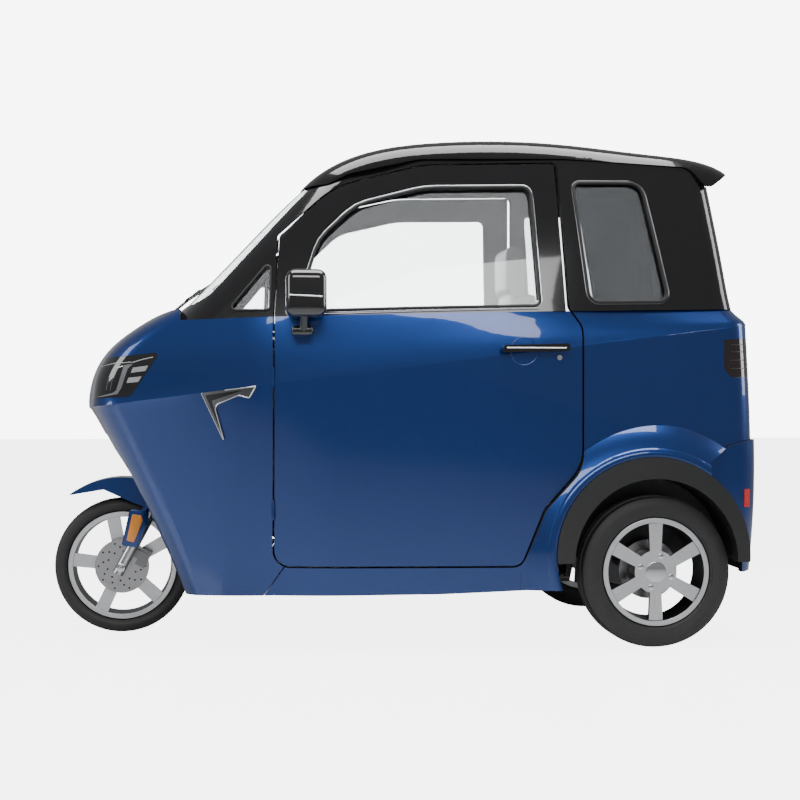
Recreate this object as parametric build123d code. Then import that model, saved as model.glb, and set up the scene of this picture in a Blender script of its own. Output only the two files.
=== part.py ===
from build123d import *
import os
from math import atan, cos, radians, sin, tan

# Three-wheeled enclosed electric runabout: one steered wheel in front, two driven wheels behind.
# +X forward, +Y left, +Z up, millimetres. The origin is on the ground, under the middle of the
# vehicle's box.

# ---------------------------------------------------------------- driving dimensions
FRONT_AXLE_X = 890.0
WHEELBASE = 1655.0
REAR_AXLE_X = FRONT_AXLE_X - WHEELBASE
REAR_TRACK = 995.0
GAP = 6.0  # shut line round a door or hatch
SEAT_CLEARANCE = 0.3  # between curved faces of separate pieces
BODY_WALL = 36.0  # doors and sides, skin to lining
PILLAR_DEPTH = 38.0
ROOF_THICKNESS = 24.0
GLASS = 5.0

# wheels
FRONT_TYRE_RADIUS = 221.0
FRONT_TYRE_WIDTH = 90.0
FRONT_RIM_RADIUS = 176.0
FRONT_RIM_WIDTH = 82.0
FRONT_SPOKES = 5
REAR_TYRE_RADIUS = 234.0
REAR_TYRE_WIDTH = 124.0
REAR_RIM_RADIUS = 166.0
REAR_RIM_WIDTH = 114.0
RIM_HUB_BACK = 34.0
REAR_SPOKES = 6

# steering
RAKE = 28.0  # steering axis leans back from vertical, degrees
FORK_OFFSET = 28.0  # wheel axle ahead of the steering axis
LEG_SPREAD = 92.0  # centre of each fork leg from the middle plane
LEG_RADIUS = 18.0
STEM_RADIUS = 15.0
HEAD_TUBE_RADIUS = 27.0
LOWER_YOKE = 322.0  # distances along the steering axis from the front axle
UPPER_YOKE = 470.0
YOKE_THICKNESS = 22.0
HANDLEBAR_REACH = 860.0
BAR_HALF_WIDTH = 300.0
BAR_RADIUS = 11.0
GRIP_RADIUS = 17.0
AXLE_RADIUS = 8.0
MUDGUARD_RADIUS = 290.0
MUDGUARD_HALF_WIDTH = 66.0
MUDGUARD_WALL = 5.0
FRONT_DISC_RADIUS = 88.0
DISC_THICKNESS = 5.0
FRONT_DISC_Y = 57.0

# heights of the body
BELT_FRONT_Z = 1014.0
BELT_SLOPE = -0.024  # the belt line rises towards the tail
ARCH_RADIUS = 254.0
ARCH_X = -758.0
ARCH_Z = 268.0
TRIM_RADIUS = 301.0
TRIM_X = -750.0
TRIM_Z = 287.0
TRIM_FOOT_Z = 266.0
TRIM_FACE_Y = 589.0
FLARE_RADIUS = 404.0

REAR_WHEEL_Y = REAR_TRACK / 2


# ---------------------------------------------------------------- drawing helpers
def rounded_face(points, radii):
    """Closed outline of straight runs, with a tangent arc of each radius at its corner."""
    corners = [Vector(*p) for p in points]
    radii = [radii] * len(corners) if isinstance(radii, (int, float)) else radii
    joins = []
    for i, corner in enumerate(corners):
        before = (corners[i - 1] - corner).normalized()
        after = (corners[(i + 1) % len(corners)] - corner).normalized()
        half = radians(before.get_angle(after)) / 2
        reach = radii[i] / tan(half)
        centre = corner + (before + after).normalized() * (radii[i] / sin(half))
        middle = centre + (corner - centre).normalized() * radii[i]
        joins.append((corner + before * reach, middle, corner + after * reach))
    edges = []
    for i, (start, middle, end) in enumerate(joins):
        edges.append(Edge.make_three_point_arc(start, middle, end))
        edges.append(Edge.make_line(end, joins[(i + 1) % len(joins)][0]))
    return Face(Wire(edges))


def side_plane(y):
    """Plane seen from the left side: its own x is +X and its own y is +Z."""
    return Plane(origin=(0, y, 0), x_dir=(1, 0, 0), z_dir=(0, -1, 0))


def side_prism(face, y_low, y_high):
    return extrude(side_plane(y_high) * face, amount=y_high - y_low, dir=(0, -1, 0))


def front_prism(face, x_low, x_high):
    """Outline in Y and Z, made solid from x_low to x_high."""
    plane = Plane(origin=(x_low, 0, 0), x_dir=(0, 1, 0), z_dir=(1, 0, 0))
    return extrude(plane * face, amount=x_high - x_low, dir=(1, 0, 0))


def box_between(low, high):
    size = [h - l for l, h in zip(low, high)]
    middle = [(l + h) / 2 for l, h in zip(low, high)]
    return Pos(*middle) * Box(*size)


def rod(start, end, radius):
    """Round bar from start to end."""
    a, b = Vector(*start), Vector(*end)
    return Solid.make_cylinder(radius, (b - a).length, Plane(origin=a, z_dir=b - a))


def both_sides(solid):
    return [solid, mirror(solid, about=Plane.XZ)]


def disc_y(x, z, radius, y_low, y_high):
    """Round slice across the vehicle, centred on x and z."""
    return Pos(x, (y_low + y_high) / 2, z) * Rot(90, 0, 0) * Cylinder(radius, y_high - y_low)


def belt_z(x):
    return BELT_FRONT_Z + BELT_SLOPE * (x - 404)


# ---------------------------------------------------------------- body surfaces
# Each body is a loft of level outlines. Columns: height at X = 0, fall per unit of X, then the
# half outline: X at the middle of the nose, nose corner X and Y, shoulder Y, door middle Y,
# X at the middle of the tail, tail corner X and Y, nose and tail corner radius.
LOWER_BENDS = (380.0, 800.0, -300.0)  # shoulder X and radius, door middle X
UPPER_BENDS = (-40.0, 500.0, -500.0)
SIDE_RADIUS = 3200.0
END_RADIUS = 900.0

LOWER_BODY = [
    (100, 0.0, 700, 665, 300, 498, 530, -1084, -1070, 492, 150, 80),
    (420, 0.0, 835, 800, 316, 532, 556, -1106, -1092, 510, 160, 80),
    (640, 0.0, 945, 905, 336, 545, 565, -1106, -1094, 512, 170, 80),
    (862, 0.125, 1016, 962, 362, 553, 572, -1104, -1088, 504, 150, 80),
]
SHOULDER_BODY = [
    (862, 0.125, 1016, 962, 362, 553, 572, -1104, -1088, 504, 150, 80),
    (919, 0.0824, 999, 942, 368, 551, 569, -1098, -1082, 497, 140, 78),
    (950, 0.0618, 974, 914, 374, 549, 566, -1091, -1074, 490, 145, 76),
    (977, 0.0442, 938, 874, 379, 547, 563, -1082, -1065, 482, 145, 74),
    (1002, 0.0290, 890, 824, 386, 545, 560, -1072, -1056, 474, 145, 72),
    (1026, 0.0149, 838, 762, 394, 543, 556, -1064, -1048, 466, 140, 70),
    (1046, 0.0058, 786, 708, 400, 540, 552, -1057, -1040, 459, 130, 68),
]
GREENHOUSE = [
    (960, 0.0, 800, 752, 442, 556, 557, -1089, -1076, 478, 150, 70),
    (1046, 0.0, 716, 668, 428, 540, 544, -1056, -1043, 466, 150, 70),
    (1170, 0.0, 596, 548, 412, 514, 523, -1036, -1022, 450, 145, 70),
    (1300, 0.0, 474, 426, 394, 484, 496, -1016, -1002, 434, 140, 70),
    (1420, 0.0, 356, 308, 374, 452, 466, -996, -982, 418, 130, 68),
    (1520, 0.0, 228, 180, 350, 420, 436, -976, -962, 402, 120, 66),
]


def level_plane(height, fall):
    angle = atan(fall)
    return Plane(origin=(0, 0, height), x_dir=(cos(angle), 0, -sin(angle)), z_dir=(sin(angle), 0, cos(angle)))


def level_outline(row, inset, bends):
    shoulder_x, shoulder_radius, middle_x = bends
    _, _, nose, corner_x, corner_y, shoulder, middle, tail, tail_x, tail_y, r_nose, r_tail = row
    half = [
        (corner_x - inset, corner_y - 0.8 * inset, r_nose - 0.5 * inset),
        (shoulder_x, shoulder - inset, shoulder_radius),
        (middle_x, middle - inset, SIDE_RADIUS),
        (tail_x + inset, tail_y - inset, r_tail - 0.5 * inset),
    ]
    other = [(x, -y, r) for x, y, r in reversed(half)]
    loop = [(nose - inset, 0, END_RADIUS)] + half + [(tail + inset, 0, END_RADIUS)] + other
    return rounded_face([(x, y) for x, y, _ in loop], [r for _, _, r in loop])


def level_loft(rows, inset, bends):
    return loft([level_plane(row[0], row[1]) * level_outline(row, inset, bends) for row in rows])


def lower_solid(inset=0.0):
    below, above = (level_loft(rows, inset, LOWER_BENDS) for rows in (LOWER_BODY, SHOULDER_BODY))
    return below.fuse(above, glue=True)


def greenhouse_solid(inset=0.0):
    return level_loft(GREENHOUSE, inset, UPPER_BENDS)


# Roof cap: a loft of arches across the vehicle. Columns: X, crown height, eaves height, half width,
# eaves corner radius.
ROOF = [
    (322, 1440, 1345, 352, 60),
    (240, 1508, 1410, 384, 70),
    (110, 1562, 1455, 414, 75),
    (-60, 1590, 1470, 432, 78),
    (-250, 1600, 1472, 440, 80),
    (-500, 1594, 1468, 441, 80),
    (-760, 1570, 1452, 432, 76),
    (-1034, 1516, 1425, 412, 62),
]
ROOF_CROWN_DROP = 26.0


def roof_arch(row, inset):
    x, crown, eaves, half, radius = row
    top = crown - inset
    shoulder = top - ROOF_CROWN_DROP
    side = half - inset
    low = eaves - 60
    points = [(side, low), (side + 2, shoulder), (0, top + 6), (-side - 2, shoulder), (-side, low)]
    face = rounded_face(points, [2, radius - inset / 2, 1500, radius - inset / 2, 2])
    return Plane(origin=(x, 0, 0), x_dir=(0, 1, 0), z_dir=(1, 0, 0)) * face


def roof_solid(inset=0.0):
    return loft([roof_arch(row, inset) for row in ROOF])


# ---------------------------------------------------------------- outlines seen from the side
# Points are X, Z and corner radius.
DOOR_OUTLINE = [
    (404, 259, 48), (-345, 257, 35), (-415, 430, 60), (-534, 560, 130), (-534, 985, 60),
    (-492, 1046, 30), (-473, 1500, 18), (-60, 1490, 300), (215, 1425, 250), (386, 1270, 16),
    (404, 1012, 60),
]
DOOR_WINDOW = [
    (284, 1040, 18), (306, 1120, 80), (262, 1255, 130), (150, 1362, 140), (-60, 1414, 300),
    (-383, 1420, 22), (-401, 1056, 14),
]
FRONT_QUARTER_WINDOW = [(536, 1041, 7), (421, 1041, 7), (417, 1184, 7)]
REAR_QUARTER_WINDOW = [(-530, 1436, 15), (-742, 1440, 45), (-816, 1074, 25), (-566, 1069, 30)]
WINDSCREEN = [(402, 1058, 40), (338, 1466, 20), (-338, 1466, 20), (-402, 1058, 40)]  # Y, Z, radius
TAILGATE = [(376, 1072, 45), (326, 1430, 45), (-326, 1430, 45), (-376, 1072, 45)]  # Y, Z, radius
TAILGATE_BORDER = 42.0
ROOF_PANEL = [
    (330, 1900, 5), (306, 1432, 5), (236, 1436, 20), (171, 1468, 60), (-46, 1512, 200),
    (-500, 1518, 200), (-905, 1500, 60), (-960, 1443, 20), (-1300, 1440, 5), (-1300, 1900, 5),
]
SPOILER_UNDERCUT = [(-1200, 1300, 5), (-940, 1300, 5), (-938, 1438, 5), (-976, 1436, 20), (-1040, 1484, 5),
                    (-1200, 1492, 5)]
HEADLAMP = [(1010, 764, 8), (975, 886, 10), (762, 907, 6), (758, 896, 6), (842, 774, 22)]
TAIL_LAMP = [(-991, 950, 6), (-1200, 962, 6), (-1200, 836, 6), (-1012, 834, 14), (-991, 862, 10)]
FENDER_TRIM = [
    (628, 786, 5), (457, 806, 3), (480, 766, 8), (514, 775, 14), (583, 745, 16), (546, 612, 3),
]
BUMPER = [
    (-1300, 200, 5), (-1300, 640, 5), (-1080, 640, 20), (-1007, 622, 30), (-930, 570, 10), (-930, 200, 5),
]
UNDERSIDE = [(900, 150, 2), (640, 154, 60), (400, 167, 300), (-100, 171, 300), (-560, 188, 100), (-1300, 246, 5),
             (-1300, -200, 5), (900, -200, 5)]
COWL_REAR = [(1300, 0, 5), (1300, 1300, 5), (300, 1300, 5), (300, 266, 5), (370, 266, 3), (446, 150, 3), (446, 0, 5)]
WHEEL_TUNNEL_HALF = 286.0
SEAM = 0.6
BULKHEAD = [(612, 215), (572, 420), (490, 620), (700, 785), (860, 800)]
FLOOR = [(612, 215), (-516, 215), (-530, 470), (-1060, 470)]
SHEET = 6.0


def outline(points):
    return rounded_face([(a, b) for a, b, _ in points], [r for _, _, r in points])


def grown(points, amount):
    return offset(outline(points), amount=amount, kind=Kind.INTERSECTION)


def through(points, growth=0.0):
    """Prism across the whole vehicle with the given side outline."""
    face = grown(points, growth) if growth else outline(points)
    return side_prism(face, -800, 800)


def left_half(shape):
    return shape & box_between((-1300, 0, -10), (1300, 800, 1900))


def strip(points, thickness):
    """Side view of a bent sheet that follows the points."""
    line = [Vector(x, z, 0) for x, z in points]
    upper, lower = [], []
    for i, p in enumerate(line):
        before = (p - line[i - 1]).normalized() if i else (line[1] - p).normalized()
        after = (line[i + 1] - p).normalized() if i + 1 < len(line) else before
        normal = Vector(-(before + after).Y, (before + after).X, 0).normalized()
        reach = thickness / 2 / (normal.dot(Vector(-before.Y, before.X, 0)))
        upper.append(p + normal * reach)
        lower.append(p - normal * reach)
    return make_face(Polyline(*upper, *reversed(lower), close=True))


# ---------------------------------------------------------------- steering frame
# Its z runs up the steering axis, its x points forward, and the front axle is at
# x = FORK_OFFSET, z = 0.
AXIS = Vector(-sin(radians(RAKE)), 0, cos(radians(RAKE)))
AHEAD = Vector(cos(radians(RAKE)), 0, sin(radians(RAKE)))
FRONT_HUB = Vector(FRONT_AXLE_X, 0, FRONT_TYRE_RADIUS)
STEERING = Plane(origin=FRONT_HUB - AHEAD * FORK_OFFSET, x_dir=AHEAD, z_dir=AXIS)


def in_steering(shape):
    return STEERING * shape


lower_outer = lower_solid()
lower_inner = lower_solid(BODY_WALL)
lower_shell = lower_outer - lower_inner
upper_outer = greenhouse_solid()
upper_shell = upper_outer - greenhouse_solid(PILLAR_DEPTH)
above_belt = side_prism(
    make_face(Polyline((1300, belt_z(1300)), (1300, 1900), (-1300, 1900), (-1300, belt_z(-1300)), close=True)),
    -800, 800,
)
belt_top = side_prism(
    make_face(Polyline((690, belt_z(690)), (690, 1900), (-1300, 1900), (-1300, belt_z(-1300)), close=True)),
    -800, 800,
)
underside = through(UNDERSIDE)
door_opening = through(DOOR_OUTLINE, GAP)
frame_edge = through([(-486, 1030, 1), (-466, 1510, 1), (-560, 1510, 1), (-560, 1030, 1)])


def front_opening():
    """Arch between the leg shields, in front of the foot wall, where the front wheel steers."""
    arch = rounded_face(
        [(WHEEL_TUNNEL_HALF, 0), (WHEEL_TUNNEL_HALF, 655), (-WHEEL_TUNNEL_HALF, 655), (-WHEEL_TUNNEL_HALF, 0)],
        [2, 150, 150, 2],
    )
    return front_prism(arch, 440, 1300)


def window_glass(points, depth, growth=8.0):
    """Pane seated in its frame, following the side of the cabin."""
    layer = greenhouse_solid(depth) - greenhouse_solid(depth + GLASS)
    return layer & through(points, growth)


def lamp_prism(points, growth=0.0):
    face = grown(points, growth) if growth else outline(points)
    near = side_prism(face, 240 - growth, 700)
    return [near, mirror(near, about=Plane.XZ)]


def make_front_cowl():
    tools = [door_opening, underside, belt_top, front_opening()] + lamp_prism(HEADLAMP, 0.5)
    return (lower_shell & through(COWL_REAR)) - tools


# Hinge pins stand in the shut line in front of each door. Their axis leans with the side of the body.
HINGE_X = DOOR_OUTLINE[0][0] + GAP / 2
HINGE_LOW = (511.0, 420.0)  # Y and Z of one point of the hinge axis
HINGE_LEAN = 0.0747  # Y gained for each unit of Z
HINGE_PIN_RADIUS = GAP / 2 - SEAT_CLEARANCE
HINGE_PINS_Z = ((400.0, 460.0), (800.0, 860.0))


def hinge_point(z):
    return (HINGE_X, HINGE_LOW[0] + HINGE_LEAN * (z - HINGE_LOW[1]), z)


def make_door_hinges():
    """Pins on the rear edge of the front cowl, each on a narrow web."""
    pins = []
    for low, high in HINGE_PINS_Z:
        bottom, top = hinge_point(low), hinge_point(high)
        web = box_between((HINGE_X, bottom[1] - 12, low + 6), (HINGE_X + 6, top[1] + 1, high - 6))
        pins += both_sides(rod(bottom, top, HINGE_PIN_RADIUS) + web)
    return pins


def make_lamps(points):
    near = lower_shell & lamp_prism(points)[0]
    return near + mirror(near, about=Plane.XZ)


nodes = {}
nodes["front_cowl"] = make_front_cowl() + make_door_hinges()
nodes["headlamps"] = make_lamps(HEADLAMP)


# ---------------------------------------------------------------- sills and tail
def make_sills():
    below_door = side_prism(
        make_face(Polyline((-345, 100), (-345, 262), (368, 262), (444 - SEAM, 150), (444 - SEAM, 100), close=True)),
        -800, 800,
    )
    return (lower_shell & below_door) - [door_opening, underside]


def make_flare():
    """Bulge of the rear wing round its wheel arch, falling away into the side."""
    root_y, crest = 470.0, TRIM_FACE_Y - 3
    sweep = FLARE_RADIUS - TRIM_RADIUS
    profile = make_face(
        Polyline((FLARE_RADIUS, crest - 58), (FLARE_RADIUS, root_y), (TRIM_RADIUS - 8, root_y), (TRIM_RADIUS - 8, crest - 6))
        + ThreePointArc((TRIM_RADIUS - 8, crest - 6), (TRIM_RADIUS + 10, crest), (TRIM_RADIUS + 28, crest - 9))
        + ThreePointArc((TRIM_RADIUS + 28, crest - 9), (TRIM_RADIUS + 0.62 * sweep, crest - 27), (FLARE_RADIUS, crest - 58))
    )
    ring_plane = Plane(origin=(TRIM_X, 0, TRIM_Z), x_dir=(1, 0, 0), z_dir=(0, 0, 1))
    ring = revolve(ring_plane * profile, axis=Axis((TRIM_X, 0, TRIM_Z), (0, 1, 0)))
    ring = ring & box_between((-1058, 0, 175), (0, 800, 900))
    return ring + mirror(ring, about=Plane.XZ)


def arch_space(radius, x, z, y_low, y_high):
    disc = disc_y(x, z, radius, y_low, y_high)
    return disc + mirror(disc, about=Plane.XZ)


def make_rear_body():
    behind_door = side_prism(
        make_face(Polyline((-345 - SEAM, 100), (-345 - SEAM, 270), (-345, 270), (-345, 1200), (-1300, 1200), (-1300, 100),
                           close=True)), -800, 800)
    skin = (lower_shell & behind_door) + ((make_flare() & behind_door) - lower_inner)
    tools = [door_opening, underside, above_belt, arch_space(TRIM_RADIUS, TRIM_X, TRIM_Z, 380, 800),
             box_between((-1300, -800, -200), (-506, 800, TRIM_FOOT_Z)), through(BUMPER, SEAM)]
    return skin - (tools + lamp_prism(TAIL_LAMP, 0.5))


def make_bumper():
    region = through(BUMPER)
    skin = (level_loft(LOWER_BODY, -10, LOWER_BENDS) & region) - (level_loft(LOWER_BODY, 14, LOWER_BENDS) & region)
    foot = box_between((-1051, -800, -200), (-900, 800, TRIM_FOOT_Z))
    return skin - [arch_space(TRIM_RADIUS + 1, TRIM_X, TRIM_Z, 380, 800), underside, foot]


def make_arch_trims():
    ring = arch_space(TRIM_RADIUS, TRIM_X, TRIM_Z, 528, TRIM_FACE_Y) - arch_space(ARCH_RADIUS, ARCH_X, ARCH_Z, 500, 700)
    ring = ring - box_between((-1300, -800, -200), (0, 800, TRIM_FOOT_Z))
    return ring


PLATE_Z = 760.0
PLATE_HOLE_SPACING = 120.0
PLATE_HOLE_RADIUS = 3.5


def plate_holes():
    return [rod((-1150, y, PLATE_Z), (-1020, y, PLATE_Z), PLATE_HOLE_RADIUS)
            for y in (-PLATE_HOLE_SPACING / 2, PLATE_HOLE_SPACING / 2)]


def make_plate_holder():
    plate = front_prism(rounded_face([(110, 690), (110, 830), (-110, 830), (-110, 690)], 12), -1116, -1105)
    return plate - plate_holes()


nodes["sills"] = make_sills()
nodes["rear_body"] = make_rear_body() - plate_holes()
nodes["plate_holder"] = make_plate_holder()
nodes["rear_bumper"] = make_bumper()
nodes["arch_trims"] = make_arch_trims()
nodes["tail_lamps"] = make_lamps(TAIL_LAMP)
nodes["fender_trims"] = (level_loft(LOWER_BODY, -5, LOWER_BENDS) & through(FENDER_TRIM)) - lower_outer

# ---------------------------------------------------------------- cabin
def make_roof_panel():
    roof = roof_solid() - roof_solid(ROOF_THICKNESS)
    return (roof & through(ROOF_PANEL)) - through(SPOILER_UNDERCUT)


nodes["roof_panel"] = make_roof_panel()
front_quarter_glass = window_glass(FRONT_QUARTER_WINDOW, 10, 6.0)
rear_quarter_glass = window_glass(REAR_QUARTER_WINDOW, 10)
windscreen = (greenhouse_solid(6) - greenhouse_solid(6 + GLASS)) & front_prism(grown(WINDSCREEN, 9), 150, 900)
windscreen = (windscreen & above_belt) - through(ROOF_PANEL)
windows = [through(FRONT_QUARTER_WINDOW), through(REAR_QUARTER_WINDOW), front_prism(outline(WINDSCREEN), 120, 900)]
TAILGATE_HINGE = (-992.0, 1433.0)  # X and Z of the pins
TAILGATE_PINS_Y = ((-50.0, -30.0), (30.0, 50.0))


def make_tailgate_hinges():
    x, z = TAILGATE_HINGE
    pins = []
    for low, high in TAILGATE_PINS_Y:
        web = box_between((x - 2, low + 2, z), (x + 2, high - 2, z + 7))
        pins.append(rod((x, low, z), (x, high, z), HINGE_PIN_RADIUS) + web)
    return pins


QUARTER_FRONT_X = -470.0  # joints between the pressings of the cabin frame
QUARTER_REAR_X = -945.0
cabin_ring = (upper_shell & above_belt) - (
    windows
    + [through(ROOF_PANEL), door_opening, front_prism(grown(TAILGATE, GAP), -1200, -860)]
    + [front_quarter_glass, rear_quarter_glass, windscreen, nodes["front_cowl"]]
)
nodes["cabin_frame"] = cabin_ring & box_between((QUARTER_FRONT_X, -800, 900), (1300, 800, 1700))
quarter_frame = cabin_ring & box_between((QUARTER_REAR_X, 0, 900), (QUARTER_FRONT_X, 800, 1700))
nodes["quarter_frame_left"] = quarter_frame
nodes["quarter_frame_right"] = mirror(quarter_frame, about=Plane.XZ)
nodes["tail_frame"] = (cabin_ring & box_between((-1300, -800, 900), (QUARTER_REAR_X, 800, 1700))) + make_tailgate_hinges()
nodes["front_quarter_glass"] = front_quarter_glass
nodes["rear_quarter_glass"] = rear_quarter_glass
nodes["windscreen"] = windscreen

# ---------------------------------------------------------------- doors
door_prism = left_half(through(DOOR_OUTLINE))
door_lower = (lower_shell & door_prism) - above_belt
door_glass = left_half(window_glass(DOOR_WINDOW, 14))
door_upper = (upper_shell & door_prism & above_belt) - [frame_edge, through(DOOR_WINDOW), door_glass]


def make_handle():
    grip = side_prism(rounded_face([(-280, 906), (-280, 928), (-486, 934), (-486, 911)], [10, 10, 8, 8]), 586, 602)
    posts = [disc_y(x, z, 9, 540, 590) for x, z in ((-292, 917), (-470, 922))]
    return (grip + posts[0] + posts[1]) - lower_outer


def make_mirror():
    housing = Pos(316, 664, 1076) * fillet(Box(118, 84, 138).edges(), 30)
    stalk = rod((334, 560, 985), (326, 640, 1030), 13)
    foot = disc_y(336, 984, 24, 530, 574)
    glass_recess = box_between((200, 632, 1026), (262, 696, 1126))
    return (housing + stalk + foot) - lower_outer - upper_outer - glass_recess


handle = make_handle()
door_mirror = make_mirror()
for side, flip in (("left", False), ("right", True)):
    for name, shape in (
        ("door_panel", door_lower),
        ("door_frame", door_upper),
        ("door_glass", door_glass),
        ("door_handle", handle),
        ("door_mirror", door_mirror),
    ):
        nodes[f"{name}_{side}"] = mirror(shape, about=Plane.XZ) if flip else shape

# ---------------------------------------------------------------- tailgate
tailgate_panel = upper_shell & front_prism(outline(TAILGATE), -1200, -860)
tailgate_panel = tailgate_panel - front_prism(grown(TAILGATE, -TAILGATE_BORDER), -1200, -800)
tailgate_glass = (greenhouse_solid(10) - greenhouse_solid(10 + GLASS)) & front_prism(
    grown(TAILGATE, 8 - TAILGATE_BORDER), -1200, -860
)
nodes["tailgate_frame"] = tailgate_panel - tailgate_glass
nodes["tailgate_glass"] = tailgate_glass


# ---------------------------------------------------------------- floor, bulkhead and chassis
def make_wheel_houses():
    outer = disc_y(ARCH_X, ARCH_Z, ARCH_RADIUS + SHEET, 404, 528)
    inner = disc_y(ARCH_X, ARCH_Z, ARCH_RADIUS, 404 + SHEET, 528)
    shell = outer - inner - box_between((-1300, 0, 0), (0, 800, ARCH_Z))
    return shell + mirror(shell, about=Plane.XZ)


def make_floor_liner():
    floor = side_prism(strip(FLOOR, SHEET), -560, 560)
    wall = side_prism(strip(BULKHEAD, SHEET), -560, 560)
    tunnel = side_prism(
        make_face(Polyline(*BULKHEAD[:4], (1000, 785), (1000, 190), close=True)),
        WHEEL_TUNNEL_HALF, WHEEL_TUNNEL_HALF + SHEET,
    )
    liner = floor + wall + tunnel + mirror(tunnel, about=Plane.XZ)
    liner = liner & lower_inner
    liner = liner - arch_space(ARCH_RADIUS + SHEET, ARCH_X, ARCH_Z, 404, 800) - underside
    column = in_steering(Pos(0, 0, 500) * Cylinder(30, 400))
    return liner - column


def beam(points, y, width, height):
    return side_prism(strip(points, height), y - width / 2, y + width / 2)


RAIL_Y = 240.0
RAIL_WIDTH = 30.0
RAIL_HEIGHT = 36.0
RAIL = [(640, 194), (-542, 194), (-587, 400), (-1040, 400)]
STRUT_SPREAD = 130.0  # head tube struts: Y at the foot, Y and distance behind the axis at the bend
STRUT_NARROW = 12.0
STRUT_BACK = 62.0
STRUT_RADIUS = 14.0
CROSS_X = (626.0, 120.0, -260.0, -505.0)
HEAD_TUBE_MIDDLE = (LOWER_YOKE + UPPER_YOKE) / 2
HEAD_TUBE_LENGTH = UPPER_YOKE - LOWER_YOKE - YOKE_THICKNESS - 4


def make_chassis():
    shape = beam(RAIL, RAIL_Y, RAIL_WIDTH, RAIL_HEIGHT) + beam(RAIL, -RAIL_Y, RAIL_WIDTH, RAIL_HEIGHT)
    for x in CROSS_X:
        shape = shape + box_between((x - 14, -RAIL_Y, 176), (x + 14, RAIL_Y, 212))
    shape = shape + box_between((-1040, -RAIL_Y, 382), (-1012, RAIL_Y, 418))
    tube = in_steering(Pos(0, 0, HEAD_TUBE_MIDDLE) * Cylinder(HEAD_TUBE_RADIUS, HEAD_TUBE_LENGTH))
    head = STEERING.from_local_coords(Vector(-10, 0, HEAD_TUBE_MIDDLE))
    bend = STEERING.from_local_coords(Vector(-STRUT_BACK, 0, LOWER_YOKE + 8))
    for side in (1, -1):
        joint = (bend.X, side * STRUT_NARROW, bend.Z)
        shape = shape + rod((632, side * STRUT_SPREAD, 200), joint, STRUT_RADIUS)
        shape = shape + Pos(*joint) * Sphere(STRUT_RADIUS) + rod(joint, (head.X, side * STRUT_NARROW, head.Z), STRUT_RADIUS)
    shape = shape + tube
    bore = in_steering(Pos(0, 0, HEAD_TUBE_MIDDLE) * Cylinder(STEM_RADIUS + SEAT_CLEARANCE, HEAD_TUBE_LENGTH + 60))
    return shape - bore


def make_rear_axle():
    shape = disc_y(REAR_AXLE_X, REAR_TYRE_RADIUS, 28, -411, 411)
    shape = shape + disc_y(REAR_AXLE_X, REAR_TYRE_RADIUS, 12, -500, 500)
    for y in (RAIL_Y, -RAIL_Y):
        shape = shape + box_between((REAR_AXLE_X - 36, y - 34, 240), (REAR_AXLE_X + 36, y + 34, 270))
    for flange in both_sides(disc_y(REAR_AXLE_X, REAR_TYRE_RADIUS, 52, 411, 418)):
        shape = shape + flange
    return shape


def make_drive_motor():
    shape = disc_y(REAR_AXLE_X, REAR_TYRE_RADIUS, 88, -85, 85)
    shape = shape + disc_y(REAR_AXLE_X + 112, REAR_TYRE_RADIUS + 24, 72, -60, 150)
    return shape - disc_y(REAR_AXLE_X, REAR_TYRE_RADIUS, 28, -200, 200)


def make_springs():
    return [Pos(REAR_AXLE_X, y, (270 + 382) / 2) * Cylinder(30, 112) for y in (RAIL_Y, -RAIL_Y)]


nodes["wheel_houses"] = make_wheel_houses()
nodes["floor_liner"] = make_floor_liner()
nodes["chassis_frame"] = make_chassis()
nodes["rear_axle"] = make_rear_axle()
nodes["drive_motor"] = make_drive_motor()
nodes["rear_springs"] = Compound(make_springs())
nodes["battery_pack"] = box_between((-480, -190, 218), (-130, 190, 410))


# ---------------------------------------------------------------- inside the cabin
def make_driver_seat():
    base = box_between((-490, -215, 218), (-100, 215, 425)) - box_between((-481, -191, 200), (-129, 191, 411))
    cushion = side_prism(
        rounded_face([(-420, 425), (40, 425), (52, 500), (-20, 528), (-300, 505), (-420, 520)], [10, 25, 24, 60, 40, 10]),
        -225, 225,
    )
    back = side_prism(
        rounded_face([(-312, 508), (-420, 508), (-466, 1110), (-425, 1120), (-362, 1090), (-345, 800)],
                     [20, 20, 18, 18, 40, 200]),
        -215, 215,
    )
    head = side_prism(rounded_face([(-440, 1110), (-432, 1285), (-366, 1290), (-368, 1120)], [20, 30, 30, 20]), -130, 130)
    return base + cushion + back + head


def make_rear_bench():
    cushion = side_prism(
        rounded_face([(-905, 473), (-600, 473), (-592, 560), (-640, 580), (-905, 565)], [5, 20, 25, 60, 5]), -385, 385
    )
    back = side_prism(
        rounded_face([(-890, 560), (-905, 473), (-965, 473), (-985, 960), (-935, 965)], [20, 2, 15, 22, 24]), -385, 385
    )
    return cushion + back


def make_dashboard():
    section = rounded_face(
        [(745, 1004), (600, 1004), (574, 962), (586, 892), (640, 862), (745, 920)], [5, 25, 20, 25, 20, 10]
    )
    return side_prism(section, -560, 560) & lower_solid(BODY_WALL)


def make_wiper():
    pivot = rod((733, -20, 1004), (733, -20, 1058), 10)
    arm = rod((733, -20, 1052), (640, -70, 1134), 5)
    blade = rod((681, 40, 1092), (592, -180, 1168), 6)
    return pivot + arm + blade


nodes["driver_seat"] = make_driver_seat()
nodes["rear_bench"] = make_rear_bench()
nodes["dashboard"] = make_dashboard()
nodes["wiper"] = make_wiper() - [nodes["cabin_frame"], nodes["front_cowl"]]


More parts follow.
